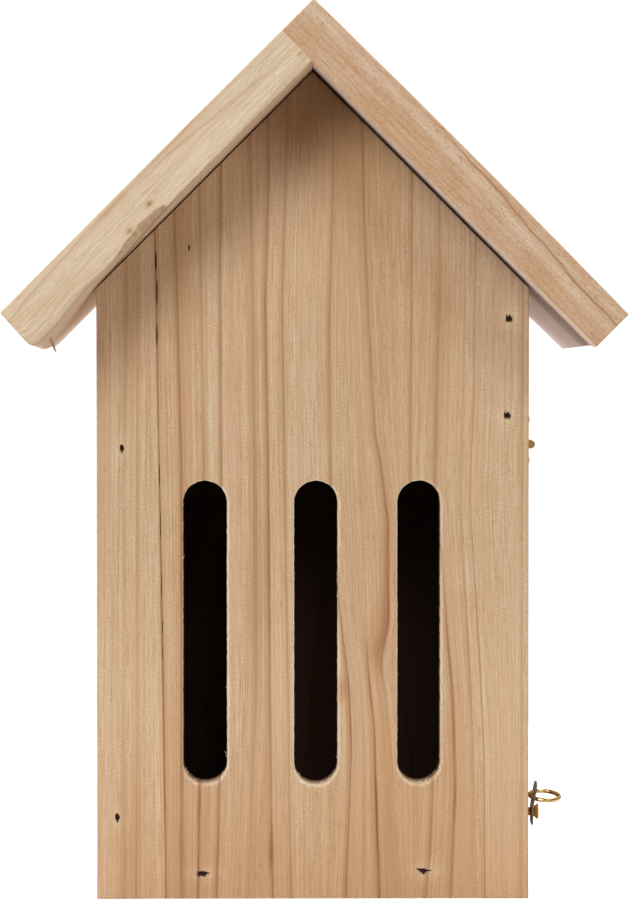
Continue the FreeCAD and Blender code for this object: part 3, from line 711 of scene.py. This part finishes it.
def back_panel(material):
    """The back: the same gable without slots, with a round hole and the brads' pits."""
    step, face_steps, walls = BACK_MESH
    outline = dense(gable(ROOF_GAP, RIGHT_TWIST / ROOT_HALF), step)
    angle = np.linspace(0, 2 * math.pi, 49)[:-1]
    hole = np.stack([np.cos(angle), -np.sin(angle)], 1) * HANG_RADIUS + (0, HANG_HEIGHT)
    pits = [(pit_line(*pit), PIT_DEPTH) for pit in PANEL_PITS]
    points, faces, pitted = slab(outline, [(hole, ARRIS)], pits, BOARD, face_steps, walls)
    x, z, depth = points.T
    piece = mesh_object("back_panel_wood", np.stack([x, BACK - depth, z], 1), faces, material)
    # Painted shade: the inner face is darkened as the shade inside the closed house
    stain_and_shade = np.where(depth > BOARD - ON_FACE, INNER_SHADE, 0.0)
    # Painted shade: the pits darken with their depth
    stain_and_shade = np.where(pitted, PIT_SHADE * smoothstep(depth, 0.0, PIT_DARK), stain_and_shade)
    vectors(piece, "fibre", x - 12, depth + 22, z + 300)
    vectors(piece, "tone", 0.4, stain_and_shade, PLAIN_LINE)
    return settle(piece, "house", "softwood", "back_panel")


# Boards drawn along their grain

def section(low, high, arris, wane, rounded, stops):
    """Points once round a board's end: bottom, back edge, top over the given stops, then front edge.

    The arrises are quarter circles. The one at the bottom of the front edge has its own (across, up) size,
    wane, and goes from a straight chamfer to a quarter ellipse as rounded goes from 0 to 1.
    """
    (y0, t0), (y1, t1) = low, high
    turn = np.radians([0, 22.5, 45, 67.5, 90])
    inward = (1 - rounded) * turn / turn[-1] + rounded * (1 - np.cos(turn))
    fall = arris * (1 - np.cos(turn))
    rise = arris * (1 - np.sin(turn))
    bottom = np.linspace(y0 + wane[0], y1 - arris, 26)[1:-1]
    edge = np.linspace(t0 + arris, t1 - arris, 8)[1:-1]
    face = np.linspace(t1 - arris, t0 + wane[1], 60)[1:-1]
    rows = [
        (y0 + wane[0] * inward, t0 + wane[1] * inward[::-1]),
        (bottom, np.full(len(bottom), t0)),
        (y1 - rise, t0 + fall),
        (np.full(len(edge), y1), edge),
        (y1 - fall, t1 - rise),
        (stops, np.full(len(stops), t1)),
        (y0 + rise, t1 - fall),
        (np.full(len(face), y0), face),
    ]
    return np.hstack([np.stack(np.broadcast_arrays(*row)) for row in rows]).T


def stations(start, end, arris, step, extra=()):
    """Places along a board and how far its ends are eased in there."""
    turn = np.radians([0, 30, 60, 90])
    ends = arris * (1 - np.cos(turn))
    middle = np.linspace(start + arris, end - arris, max(3, math.ceil((end - start) / step)))[1:-1]
    middle = np.union1d(middle, np.array(extra, float))
    place = np.concatenate([start + ends, middle, end - ends[::-1]])
    easing = arris * (1 - np.sin(turn))
    return place, np.concatenate([easing, np.zeros(len(middle)), easing[::-1]])


def loft(rings):
    """Points and faces of a closed bar over rings of equal count, its ends closed by one face each."""
    levels, count = rings.shape[:2]
    index = np.arange(levels * count).reshape(levels, count)
    faces = strips(0, levels, count).tolist()
    return rings.reshape(-1, 3), faces + [index[0].tolist(), index[-1][::-1].tolist()]


def plain_board(material, name, across, thick, along, axes, heart, inner, body, node):
    """A square board drawn along its grain; axes say which of x, y and z run across, through and along it.

    inner says which of its two thickness limits, 0 or 1, is the face inside the house.
    """
    place, easing = stations(*along, ARRIS, 6.0)
    stops = np.linspace(across[1] - 2, across[0] + 2, 12)
    rings = []
    for s, e in zip(place, easing):
        low = (across[0] + e, thick[0] + e)
        high = (across[1] - e, thick[1] - e)
        ring = section(low, high, ARRIS, (ARRIS, ARRIS), 1, stops)
        rings.append(at_depth(ring, s))
    points, faces = loft(np.stack(rings))
    piece = mesh_object(name, points[:, np.argsort(axes)], faces, material)
    a, t, s = points.T
    vectors(piece, "fibre", a - 9, t + 60, s + 17 * len(name))
    # Painted shade: the inner face is darkened as the shade inside the closed house
    stain_and_shade = np.where(np.abs(t - thick[inner]) < ON_FACE, INNER_SHADE, 0.0)
    vectors(piece, "tone", heart, stain_and_shade, PLAIN_LINE)
    return settle(piece, body, "softwood", node)


def chip(s):
    """How far the lower arris of the left roof board is torn up its front, and worn round at the eave."""
    place, height = np.transpose(CHIP)
    rounded = EAVE_WEAR * smoothstep(s, *EAVE_EASE)
    return np.interp(s, place, height) + rounded + ripple(s, (0.05, 5.3, 0.5), (0.04, 2.3, 1.9))


def worn(s):
    """How far the planed-off lower arris of the right roof board reaches up its front: more at the eave."""
    planed, at_eave = 0.08, 0.15
    return planed + at_eave * smoothstep(s, 88, 91) + ripple(s, (0.03, 6.0, 1.0))


def roof_grid(brads):
    """Places along and across a roof board where its grid is close, so that the brads' pits are sharp."""
    near = np.array([-0.75, -0.6, -0.5, -0.3, 0, 0.3, 0.5, 0.6, 0.75])
    wide = np.array([-1.5, -1.3, -1.15, -0.6, 0, 0.6, 1.15, 1.3, 1.5])
    along = np.concatenate([s + near for s in sorted({s for s, _ in brads})])
    across = np.concatenate([y + wide for y in sorted({y for _, y in brads})])
    return along, across


def right_sag(s, y):
    """How far the right board's underside is below its plane, at the front edge and at the back.

    The front edge sags most at the eave. The board is twisted, so that its back is lower, by RIGHT_TWIST
    where it leaves the house.
    """
    front = FRONT_SAG + EAVE_SAG * smoothstep(s, 80, ROOF_LENGTH)
    front *= 1 - smoothstep(y, ROOF_FRONT, FRONT)
    down = np.clip((s - BOARD) / (HOUSE_EDGE - BOARD), 0, 1)
    down -= TWIST_LOSS * smoothstep(s, HOUSE_EDGE, ROOF_LENGTH)
    return front + RIGHT_TWIST * down * np.clip((y - FRONT) / (ROOF_BACK - FRONT), 0, 1)


def left_sag(s, y):
    """How far the left board's underside is below its plane: a belly at the eave less its rounded end.

    The rounding is a quarter circle whose radius shrinks from the front edge to the back.
    """
    belly = LEFT_BELLY * smoothstep(s, HOUSE_EDGE, 96) * (1 - smoothstep(y, -15, 45))
    radius = END_ROUND - END_ROUND_LOSS * smoothstep(y, -48, -15)
    reach = np.clip(s - ROOF_LENGTH + radius, 0, radius)
    return belly - radius + np.sqrt(radius ** 2 - reach ** 2)


def roof_board(name, material, below, side, start, brads, bow, sag, wane, tone, node):
    """A roof board as rings of its end carried down the slope, with its pits pressed into the top.

    The top bows out as half a sine wave and the underside sags below its plane. The left board's lower end
    is cut a little out of square, shorter at its top. below is the copy of its wood for the underside, whose
    pale colours paint the bounce light that the underside catches; side is 1 for the right slope and -1 for
    the left, and start is how far down the slope from the ridge it begins.
    """
    along, across = roof_grid(brads)
    place, easing = stations(start, ROOF_LENGTH, ARRIS, 0.6, along)
    stops = np.union1d(np.linspace(ROOF_BACK - 3, ROOF_FRONT + 3, 40), across)[::-1]
    rings = []
    for s, e in zip(place, easing):
        up = wane(s)
        wear = (0.2 + 0.8 * up, up)
        rounded = smoothstep(s, *EAVE_EASE)
        ring = section((ROOF_FRONT + e, e), (ROOF_BACK - e, BOARD - e), ARRIS, wear, rounded, stops)
        rings.append(at_depth(ring, s))
    points, faces = loft(np.stack(rings))
    y, t, s = points.T
    top = t > BOARD - ON_FACE
    sunk = np.zeros(len(y))
    for bs, by in brads:
        mask = 1 - smoothstep(np.abs(s - bs), *PIT_ALONG)
        mask *= 1 - smoothstep(np.abs(y - by), *PIT_ACROSS)
        sunk = np.maximum(sunk, np.where(top, mask, 0))
    depth = BOARD - t + sunk * PIT_DEPTH - bow * np.sin(math.pi * s / ROOF_LENGTH) * t / BOARD
    depth += sag(s, y) * (1 - t / BOARD)
    slant = EAVE_SLANT if side < 0 else 0
    down = s - slant * t / BOARD * smoothstep(s, EAVE_EASE[1], ROOF_LENGTH)
    world = np.stack([side * (down - depth) * ROOT_HALF, y, APEX - (down + depth) * ROOT_HALF], 1)
    piece = mesh_object(name, world, faces, material)
    # The underside takes its own copy of the wood, whose colours paint the bounce light on it
    piece.data.materials.append(below)
    for polygon in piece.data.polygons:
        polygon.material_index = int(t[list(polygon.vertices)].max() < ON_FACE)
    heart, stain_and_shade = tone(s, y, t)
    vectors(piece, "fibre", y - 14 * side, t + 34 + 6 * side, s + 140 * side)
    # Painted shade: the brads' pits in the top are darkened
    vectors(piece, "tone", heart, np.maximum(stain_and_shade, SUNK_SHADE * sunk), ROOF_LINE)
    return settle(piece, "house", "softwood", node)


def right_tone(s, y, t):
    """The right roof board's shares of heartwood and stain.

    On the front orange-brown wood below, a pale wavy band above the middle and tan wood on top, parted by
    one thin brown line, and fresh wood on the worn arris, paled further as a painted highlight. On the
    underside a pale band at the front that is painted bounce light, a broad brown streak, and a painted
    shade dark along the panel.
    """
    tan, orange, paler, brown, paling = 0.45, 0.8, 0.6, 1.5, -1.0
    line = np.interp(s, *BROWN_LINE) + ripple(s, (0.12, 19, 0.4), (0.08, 7, 2))
    heart = np.where(t > line, tan, orange - paler * hill(t, line - 1.7, 1.3))
    heart += brown * hill(t, line, 0.16) * smoothstep(s, 30, 50)
    # Worn fresh wood on the arris, paled further as a painted highlight where it catches the bounce light
    heart = np.where((y < ROOF_FRONT + 1) & (t < worn(s) - 0.02), paling, heart)
    # On the underside a broad brown streak, and a pale band at the front edge that is painted bounce light
    streak = 1.9 * hill(y, -22, 14) - 1.6 * (1 - smoothstep(y, -37, -33))
    # Painted shade: the dark strip of the underside along the panel
    gap_shade = 0.9 * hill(y, FRONT, 3.5) * (1 - smoothstep(s, 80, 84))
    return np.where(t < ON_FACE, streak, heart), np.where(t < ON_FACE, gap_shade, 0)


def left_tone(s, y, t):
    """The left roof board's shares of heartwood and stain.

    On the front pale wood with a brown streak that slants across it, two pin knots, a dark fleck, a rough
    streak at the top arris and a torn lower one. On the underside two slanting streaks, a painted shade that
    darkens it next to the house, and browner wood at the front.
    """
    pale, brown, rough, ragged = 0.12, 0.7, 0.7, 1.15
    front = y < ROOF_FRONT + 3
    slant = 5.8 + (s - 22.6) * 0.093
    heart = pale + brown * hill(t, slant, 0.4) * between(s, (17, 24), (44, 60))
    for knot_s, knot_t, size, share in KNOTS:
        far = np.hypot((s - knot_s) * 0.7, t - knot_t)
        heart += np.where(front, share * hill(far, 0, size), 0)
    heart += rough * hill(t, 9.0, 0.6) * between(s, (60, 63), (69, 72))
    torn = front & (s < 76) & (t < chip(s) - 0.05) & (t > ON_FACE) & (chip(s) > 0.5)
    heart = np.where(torn, ragged + 0.5 * ripple(s, (0.5, 1.7, 0.0), (0.5, 2.9, 1.0)), heart)
    past = s - 82
    line = hill(y, 1.4 * past - 8, 1.8) * between(s, (84, 87), (95, 97))
    streak = 0.9 * hill(y, 1.2 * past - 20, 6) + 1.4 * line
    # Painted shade: darker next to the house; browner at the front
    streak += np.maximum(1 - smoothstep(s, 81, 86), 0.7 * (1 - smoothstep(y, -31, -20)))
    return np.where(t < ON_FACE, streak, heart), np.zeros(len(s))


# Fibres that the cutter tore up

def tubes(paths, radii, sides):
    """Closed tubes, one for each row of path points: flattened rings about each point, and closed ends."""
    count, levels = paths.shape[:2]
    ahead = np.gradient(paths, axis=1)
    ahead /= np.linalg.norm(ahead, axis=2, keepdims=True)
    first = np.cross(ahead, np.where(np.abs(ahead[..., 1:2]) > 0.8, (1.0, 0.0, 0.0), (0.0, 1.0, 0.0)))
    first /= np.linalg.norm(first, axis=2, keepdims=True)
    second = np.cross(ahead, first)
    turn = 2 * math.pi * np.arange(sides) / sides
    wide, thin = (np.broadcast_to(radius, (count, levels))[..., None, None] for radius in radii)
    spread = wide * first[:, :, None] * np.cos(turn)[:, None]
    spread = spread + thin * second[:, :, None] * np.sin(turn)[:, None]
    points = (paths[:, :, None] + spread).reshape(-1, 3)
    faces = []
    for number in range(count):
        start = number * levels * sides
        index = start + np.arange(levels * sides).reshape(levels, sides)
        faces += strips(start, levels, sides).tolist()
        faces += [index[0, ::-1].tolist(), index[-1].tolist()]
    return points, faces


def whiskers(material):
    """Torn fibres on the front: tapered three-sided tubes, bent as parabolas.

    They are rooted in the slots' edges and along the slopes.
    """
    shortest, longest, thick, paling = 0.3, 0.8, 0.1, -1.2
    rng = np.random.default_rng(SEED + 2)
    roots = []
    ways = []
    for x, half, low in SLOTS:
        for angle in np.radians(np.concatenate([rng.uniform(205, 335, 13), rng.uniform(-20, 20, 3)])):
            out = half + 0.12
            roots.append((x + out * math.cos(angle), FRONT + 0.35, low + half + out * math.sin(angle)))
            ways.append((-0.5 * math.cos(angle), -0.35, 1.0))
        for z in rng.uniform(low + half, SLOT_HIGH - half, 14):
            side = rng.choice((-1, 1))
            roots.append((x + side * (half + 0.1), FRONT + 0.3, z))
            ways.append((-0.45 * side, -0.2, 1.0))
    for x in SLOPE_FIBRES:
        roots.append((x, FRONT + 0.05, PEAK - ROOF_GAP - abs(x) - ARRIS - 0.3))
        ways.append((0.4 * np.sign(x), -0.5, -0.7))
    ways = np.array(ways) + rng.normal(0, 0.25, (len(ways), 3))
    ways /= np.linalg.norm(ways, axis=1, keepdims=True)
    reach = rng.uniform(shortest, longest, (len(ways), 1, 1))
    share = np.array([0, 0.35, 0.7, 1.0])[None, :, None]
    bend = rng.normal(0, 0.3, (len(ways), 1, 3))
    paths = np.array(roots)[:, None] + reach * (share * ways[:, None] + share ** 2 * bend)
    radius = thick * (1 - 0.8 * share[..., 0])
    points, faces = tubes(paths, (radius, radius), 3)
    piece = mesh_object("torn_fibres", points, faces, material)
    vectors(piece, "fibre", *points.T)
    vectors(piece, "tone", paling, 0.0, TORN_LINE)
    return settle(piece, "house", "softwood")


def splinter(material):
    """A flat reddish splinter that hangs from the left eave: a bent tapered tube of flattened section."""
    root, slide, drop, front, sides, half_width = 96.9, 2.2, 4.5, -31, 8, 0.36
    share = np.linspace(0, 1, 9)
    s = root + slide * share ** 0.8
    t = -drop * share
    y = front - 0.25 * np.sin(math.pi * share)
    depth = BOARD - t
    path = np.stack([-(s - depth) * ROOT_HALF, y, APEX - (s + depth) * ROOT_HALF], 1)
    leaf = np.sqrt(np.clip(np.sin(math.pi * (0.04 + 0.9 * share)), 0, 1))
    wide = half_width * leaf * (1 - 0.3 * share)
    points, faces = tubes(path[None], (wide, 0.5 * wide), sides)
    piece = mesh_object("eave_splinter", points, faces, material)
    vectors(piece, "fibre", *points.T)
    vectors(piece, "tone", np.repeat(0.9 + 0.8 * share, sides), 0.0, TORN_LINE)
    return settle(piece, "house", "softwood")


def build_wood():
    """All the boards, each with the timber it is cut from, and what is torn from them."""
    front = wood("planed_softwood_front", "#e1ceb3", "#b4926b", "#d0ae91", "#b48a60", "#86522f")
    plain = wood("planed_softwood_boards", "#e0caad", "#b8956d", "#d6b095", "#bb8d62", "#8f5c38", 4.6)
    cream = wood(
        "sawn_softwood_cream", "#e8d9c2", "#c9ae8a", "#e0c9b0", "#c2a07a", "#9a7350",
        spacing=3.4, bold=0.35, reach=0.5,
    )
    russet = wood(
        "sawn_softwood_russet", "#e6d6c2", "#c4a482", "#d6b9a1", "#bc8d62", "#8f5c37",
        spacing=4.2, bold=0.15, flecks=0.5, reach=0.18,
    )
    # Copies of the roof wood for the undersides, paler than the boards, whose colours paint the bounce light
    # that reaches them: cool on the right, warm on the left
    underside_bounce_light = wood("sawn_softwood_underside_painted_bounce_light", "#f2ebee", "#ddd2d5", "#e8dbde", "#a88f86", "#7d6660", 4.2, 0.6)
    warm_underside_bounce_light = wood("sawn_softwood_warm_underside_painted_bounce_light", "#efdfd2", "#d9c2ac", "#e6cfc2", "#dcbf9e", "#8a6348", 4.2, 0.6)
    front_panel(front)
    back_panel(plain)
    span = (INSIDE_FRONT, INSIDE_BACK)
    door = (INSIDE_FRONT + DOOR_GAP, INSIDE_BACK - DOOR_GAP)
    left = (-PANEL_HALF, -INSIDE_HALF)
    right = (INSIDE_HALF, PANEL_HALF)
    above_door = (SEAM_HIGH, EAVE - RIGHT_TWIST / ROOT_HALF)
    floor_span = (-INSIDE_HALF, INSIDE_HALF - DOOR_GAP)
    upright, level = (1, 0, 2), (1, 2, 0)
    for row in (
        ("left_side_wood", span, left, (0, EAVE), upright, 0.35, 1, "house", "left_side"),
        ("right_side_wood", span, right, above_door, upright, 0.5, 0, "house", "right_side_top"),
        ("side_door_wood", door, right, (DOOR_LOW, DOOR_HIGH), upright, 0.3, 0, "door", "side_door"),
        ("floor_wood", span, (0, BOARD), floor_span, level, 0.45, 1, "house", "floor_board"),
    ):
        plain_board(plain, *row)
    roof_board(
        "right_roof_wood", russet, underside_bounce_light, 1, 0.0, ROOF_BRADS + RIDGE_BRADS,
        RIGHT_BOW, right_sag, worn, right_tone, "right_roof_board",
    )
    roof_board(
        "left_roof_wood", cream, warm_underside_bounce_light, -1, BOARD, ROOF_BRADS,
        LEFT_BOW, left_sag, chip, left_tone, "left_roof_board",
    )
    whiskers(cream)
    splinter(russet)


def turned(a, b, angle):
    """Two coordinates after a turn from the first axis towards the second."""
    return a * math.cos(angle) - b * math.sin(angle), a * math.sin(angle) + b * math.cos(angle)


def latch_ring(material):
    """The latch's ring: a small circle carried round a large one, sagging and tilted at its pivot."""
    turn = 2 * math.pi * np.arange(RING_STEPS) / RING_STEPS
    twist = 2 * math.pi * np.arange(WIRE_SIDES) / WIRE_SIDES
    reach = RING_RADIUS + RING_WIRE * np.cos(twist)
    x = RING_RADIUS + reach * np.cos(turn)[:, None]
    y = reach * np.sin(turn)[:, None]
    z = np.broadcast_to(RING_WIRE * np.sin(twist), x.shape)
    z, x = turned(z, x, RING_SAG)
    y, z = turned(y, z, RING_TILT)
    points = np.stack([x, y, z], -1).reshape(-1, 3) + RING_PIVOT
    faces = strips(0, RING_STEPS + 1, WIRE_SIDES) % len(points)
    piece = mesh_object("latch_ring_wire", points, faces.tolist(), material)
    return settle(piece, "ring", "brass", "latch_ring")


def finish_metal():
    """Metal pieces keep their shape and take their finish here. The ring alone is made anew, to be smooth."""
    brass = metal("stamped_brass", "#e3c183", "#b58c50", "#5f4526", 0.52, 0.5, "#8a6a45")
    wire = metal("drawn_brass_wire", "#dfc28a", "#a67d48", "#5f4526", 0.2, 0.4, "#6e4e2c")
    screw = metal("turned_brass_screw", "#f2c878", "#dba658", "#7a5526", 0.75, 0.5, "#d0a060")
    # The brads' steel is near black: its own dark finish, darkened further as painted shade so that the heads
    # read as the shade deep in their pits
    brad = metal("dark_wire_steel_painted_shade", "#3f3a36", "#2b2622", "#1c1410", 0.45, 0.4, "#ffffff")
    latch = metal("burnished_sheet_steel", "#8d8780", "#67615a", "#3a322b", 0.36, 0.6, "#ffffff")
    for name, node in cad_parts.items():
        if "brads" in name:
            finish, slot = brad, "brad_steel"
        elif name == "latch_plate":
            finish, slot = latch, "latch_steel"
        elif name == "latch_screw":
            finish, slot = screw, "brass"
        elif "hinge" in name or name == "latch_ring":
            finish, slot = brass, "brass"
        else:
            continue
        node.data.materials.clear()
        node.data.materials.append(finish)
    latch_ring(wire)


# Studio

def studio():
    """A white room, brighter behind the house and dim and warm before it, over a pale floor.

    A large soft key stands above the camera's left, a weak fill at its right and a wide light over the top.
    The room and the floor are white to the camera from every side.
    """
    dim, bright, glow_share = 0.16, 1.1, 0.6
    world = bpy.data.worlds.new("white_room")
    bpy.context.scene.world = world
    world.use_nodes = True
    tree = world.node_tree
    away = add(tree, "SeparateXYZ", inputs=(add(tree, "TexCoord", out="Generated"),), out=1)
    share = add(tree, "MapRange", SMOOTH, (away, 0.1, 0.75))
    seen = add(tree, "LightPath", out="Is Camera Ray")
    share = add(tree, "Math", LARGER, (share, seen))
    strength = add(tree, "MapRange", inputs={0: share, 3: dim, 4: bright})
    mix = {MIX_SHARE: share, MIX_FROM: linear("#ffecd9"), MIX_TO: linear("#ffffff")}
    tint = add(tree, "Mix", COLOURS, mix, MIXED)
    tree.links.new(strength, tree.nodes["Background"].inputs["Strength"])
    tree.links.new(tint, tree.nodes["Background"].inputs["Color"])

    wide, near, far = 0.5, -0.14, 0.4
    mesh = bpy.data.meshes.new("floor")
    mesh.from_pydata([(-wide, near, 0), (wide, near, 0), (wide, far, 0), (-wide, far, 0)], [], [(0, 1, 2, 3)])
    paint, tree, surface = new_material("matt_white_studio_floor", {
        "Base Color": linear("#f4f3f1"), "Roughness": 0.9, "Specular IOR Level": 0.1,
        "Emission Color": linear("#ffffff"),
    })
    seen = add(tree, "LightPath", out="Is Camera Ray")
    glow = add(tree, "Math", TIMES, (seen, glow_share))
    tree.links.new(glow, surface.inputs["Emission Strength"])
    mesh.materials.append(paint)
    floor = put("floor", mesh)

    aim = Vector((0, 0, 0.1))
    for name, place, size, power in (
        ("key", (-0.5425, -1.068, 0.653), 0.6, 10.9),
        ("fill", (0.70, -1.0, 0.62), 0.5, 4.6),
        ("top", (0.0, 0.3, 1.3), 1.2, 20.0),
    ):
        light = bpy.data.lights.new(name, "AREA")
        light.size = size
        light.energy = power
        lamp = put(name, light)
        lamp.location = place
        lamp.rotation_euler = (aim - lamp.location).to_track_quat("-Z", "Y").to_euler()


def camera():
    """The photograph's view: a long lens nearly a metre away, a little to the left, looking slightly down."""
    pitch, yaw = 0.02227, 0.0102
    lens = bpy.data.cameras.new("camera")
    lens.sensor_width = 36.0
    lens.lens = 149.59
    lens.clip_start = 0.05
    lens.clip_end = 100.0
    made = put("camera", lens)
    made.location = (-0.00855, -0.90213, 0.125135)
    made.rotation_euler = (math.pi / 2 - pitch, 0.0, -yaw)
    bpy.context.scene.camera = made


build_wood()
finish_metal()
studio()
camera()
bpy.context.scene.view_settings.view_transform = "Standard"
